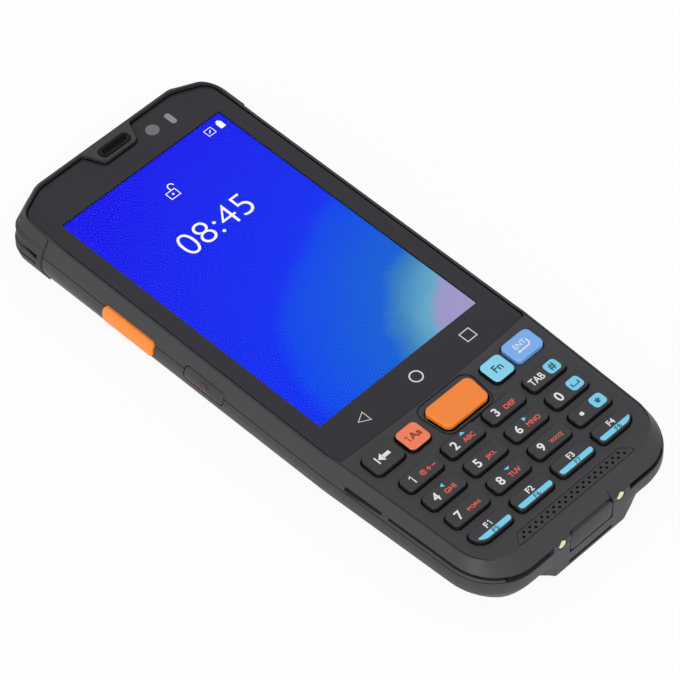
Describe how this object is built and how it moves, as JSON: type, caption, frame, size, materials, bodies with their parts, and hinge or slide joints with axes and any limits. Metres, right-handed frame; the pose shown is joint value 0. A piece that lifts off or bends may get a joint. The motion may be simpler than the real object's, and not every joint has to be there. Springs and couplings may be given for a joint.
{
  "type": "barcode data terminal",
  "caption": "Rugged handheld data terminal with a touch screen, a keypad, side scan and power buttons, and a barcode scanner window in its top end.",
  "frame": {"origin": "on the flat back, under the middle of the overall length and width", "axes": "+X right and +Y towards the scanner end when the screen is looked at; +Z out of the screen"},
  "size_m": [0.0691, 0.1608, 0.017],
  "materials": {
    "shell": "fine spark-eroded grain, satin",
    "bumper": "matt overmoulded elastomer",
    "cover_glass": "polished, black print behind the border",
    "display": null,
    "frame_metal": "die-cast, as moulded",
    "grille": "black mesh",
    "module": "moulded",
    "sensor": "grey window",
    "key_black": "satin cap",
    "key_orange": "satin cap",
    "key_salmon": "satin cap",
    "key_cyan": "satin cap",
    "key_blue": "satin cap",
    "membrane": "silicone",
    "board": "solder mask",
    "connector_plastic": "moulded",
    "can_steel": "tinned",
    "battery": "bare wrap",
    "screw": "blackened",
    "scan_glass": "dark red filter",
    "camera_glass": "polished",
    "flash": "fresnel lens",
    "contact": "gold plated",
    "flap": "matt elastomer"
  },
  "bodies": {
    "terminal": {"front_housing": "shell", "rear_housing": "shell", "corner_bumper_left": "bumper", "corner_bumper_right": "bumper", "cover_glass": "cover_glass", "display_panel": "display", "mid_frame": "frame_metal", "earpiece_grille": "grille", "earpiece_speaker": "module", "front_camera": "module", "light_sensor": "sensor", "keypad_membrane": "membrane", "keypad_board": "board", "board_link": "connector_plastic", "main_board": "board", "shield_cans": "can_steel", "card_socket": "can_steel", "battery_pack": "battery", "battery_door": "shell", "door_screws": "screw", "housing_screws": "screw", "scan_engine": "module", "scan_window": "scan_glass", "rear_camera": "module", "camera_window": "camera_glass", "flash_lens": "flash", "vibration_motor": "can_steel", "loudspeaker": "module", "speaker_mesh": "grille", "usb_connector": "can_steel", "connector_board": "board", "charge_contacts": "contact", "side_key_board": "board", "volume_board": "board"},
    "key_back": {"key_back": "key_black"},
    "key_shift": {"key_shift": "key_salmon"},
    "key_scan": {"key_scan": "key_orange"},
    "key_fn": {"key_fn": "key_cyan"},
    "key_enter": {"key_enter": "key_blue"},
    "key_1": {"key_1": "key_black"},
    "key_2": {"key_2": "key_black"},
    "key_3": {"key_3": "key_black"},
    "key_tab": {"key_tab": "key_black"},
    "key_4": {"key_4": "key_black"},
    "key_5": {"key_5": "key_black"},
    "key_6": {"key_6": "key_black"},
    "key_0": {"key_0": "key_black"},
    "key_7": {"key_7": "key_black"},
    "key_8": {"key_8": "key_black"},
    "key_9": {"key_9": "key_black"},
    "key_dot": {"key_dot": "key_black"},
    "key_f1": {"key_f1": "key_black"},
    "key_f2": {"key_f2": "key_black"},
    "key_f3": {"key_f3": "key_black"},
    "key_f4": {"key_f4": "key_black"},
    "side_scan_button": {"side_scan_button": "key_orange"},
    "power_button": {"power_button": "key_black"},
    "volume_rocker": {"volume_rocker": "key_black"},
    "usb_flap": {"usb_flap": "flap"}
  },
  "joints": [
    {"name": "key_back_press", "type": "slide", "parent": "terminal", "child": "key_back", "axis": [0, 0, -1], "range_m": [0, 0.0006], "stiffness_N_per_m": 600},
    {"name": "key_shift_press", "type": "slide", "parent": "terminal", "child": "key_shift", "axis": [0, 0, -1], "range_m": [0, 0.0006], "stiffness_N_per_m": 600},
    {"name": "key_scan_press", "type": "slide", "parent": "terminal", "child": "key_scan", "axis": [0, 0, -1], "range_m": [0, 0.0006], "stiffness_N_per_m": 600},
    {"name": "key_fn_press", "type": "slide", "parent": "terminal", "child": "key_fn", "axis": [0, 0, -1], "range_m": [0, 0.0006], "stiffness_N_per_m": 600},
    {"name": "key_enter_press", "type": "slide", "parent": "terminal", "child": "key_enter", "axis": [0, 0, -1], "range_m": [0, 0.0006], "stiffness_N_per_m": 600},
    {"name": "key_1_press", "type": "slide", "parent": "terminal", "child": "key_1", "axis": [0, 0, -1], "range_m": [0, 0.0006], "stiffness_N_per_m": 600},
    {"name": "key_2_press", "type": "slide", "parent": "terminal", "child": "key_2", "axis": [0, 0, -1], "range_m": [0, 0.0006], "stiffness_N_per_m": 600},
    {"name": "key_3_press", "type": "slide", "parent": "terminal", "child": "key_3", "axis": [0, 0, -1], "range_m": [0, 0.0006], "stiffness_N_per_m": 600},
    {"name": "key_tab_press", "type": "slide", "parent": "terminal", "child": "key_tab", "axis": [0, 0, -1], "range_m": [0, 0.0006], "stiffness_N_per_m": 600},
    {"name": "key_4_press", "type": "slide", "parent": "terminal", "child": "key_4", "axis": [0, 0, -1], "range_m": [0, 0.0006], "stiffness_N_per_m": 600},
    {"name": "key_5_press", "type": "slide", "parent": "terminal", "child": "key_5", "axis": [0, 0, -1], "range_m": [0, 0.0006], "stiffness_N_per_m": 600},
    {"name": "key_6_press", "type": "slide", "parent": "terminal", "child": "key_6", "axis": [0, 0, -1], "range_m": [0, 0.0006], "stiffness_N_per_m": 600},
    {"name": "key_0_press", "type": "slide", "parent": "terminal", "child": "key_0", "axis": [0, 0, -1], "range_m": [0, 0.0006], "stiffness_N_per_m": 600},
    {"name": "key_7_press", "type": "slide", "parent": "terminal", "child": "key_7", "axis": [0, 0, -1], "range_m": [0, 0.0006], "stiffness_N_per_m": 600},
    {"name": "key_8_press", "type": "slide", "parent": "terminal", "child": "key_8", "axis": [0, 0, -1], "range_m": [0, 0.0006], "stiffness_N_per_m": 600},
    {"name": "key_9_press", "type": "slide", "parent": "terminal", "child": "key_9", "axis": [0, 0, -1], "range_m": [0, 0.0006], "stiffness_N_per_m": 600},
    {"name": "key_dot_press", "type": "slide", "parent": "terminal", "child": "key_dot", "axis": [0, 0, -1], "range_m": [0, 0.0006], "stiffness_N_per_m": 600},
    {"name": "key_f1_press", "type": "slide", "parent": "terminal", "child": "key_f1", "axis": [0, 0, -1], "range_m": [0, 0.0006], "stiffness_N_per_m": 600},
    {"name": "key_f2_press", "type": "slide", "parent": "terminal", "child": "key_f2", "axis": [0, 0, -1], "range_m": [0, 0.0006], "stiffness_N_per_m": 600},
    {"name": "key_f3_press", "type": "slide", "parent": "terminal", "child": "key_f3", "axis": [0, 0, -1], "range_m": [0, 0.0006], "stiffness_N_per_m": 600},
    {"name": "key_f4_press", "type": "slide", "parent": "terminal", "child": "key_f4", "axis": [0, 0, -1], "range_m": [0, 0.0006], "stiffness_N_per_m": 600},
    {"name": "side_scan_press", "type": "slide", "parent": "terminal", "child": "side_scan_button", "axis": [1, 0, 0], "range_m": [0, 0.0005], "stiffness_N_per_m": 1500},
    {"name": "power_press", "type": "slide", "parent": "terminal", "child": "power_button", "axis": [1, 0, 0], "range_m": [0, 0.0005], "stiffness_N_per_m": 1500},
    {"name": "volume_tip", "type": "hinge", "parent": "terminal", "child": "volume_rocker", "pos_m": [0.0324, 0.0358, 0.0105], "axis": [0, 0, 1], "range_deg": [-1.5, 1.5], "stiffness_Nm_per_rad": 0.03},
    {"name": "flap_swing", "type": "hinge", "parent": "terminal", "child": "usb_flap", "pos_m": [0, -0.0797, 0.0074], "axis": [1, 0, 0], "range_deg": [0, 90]}
  ]
}
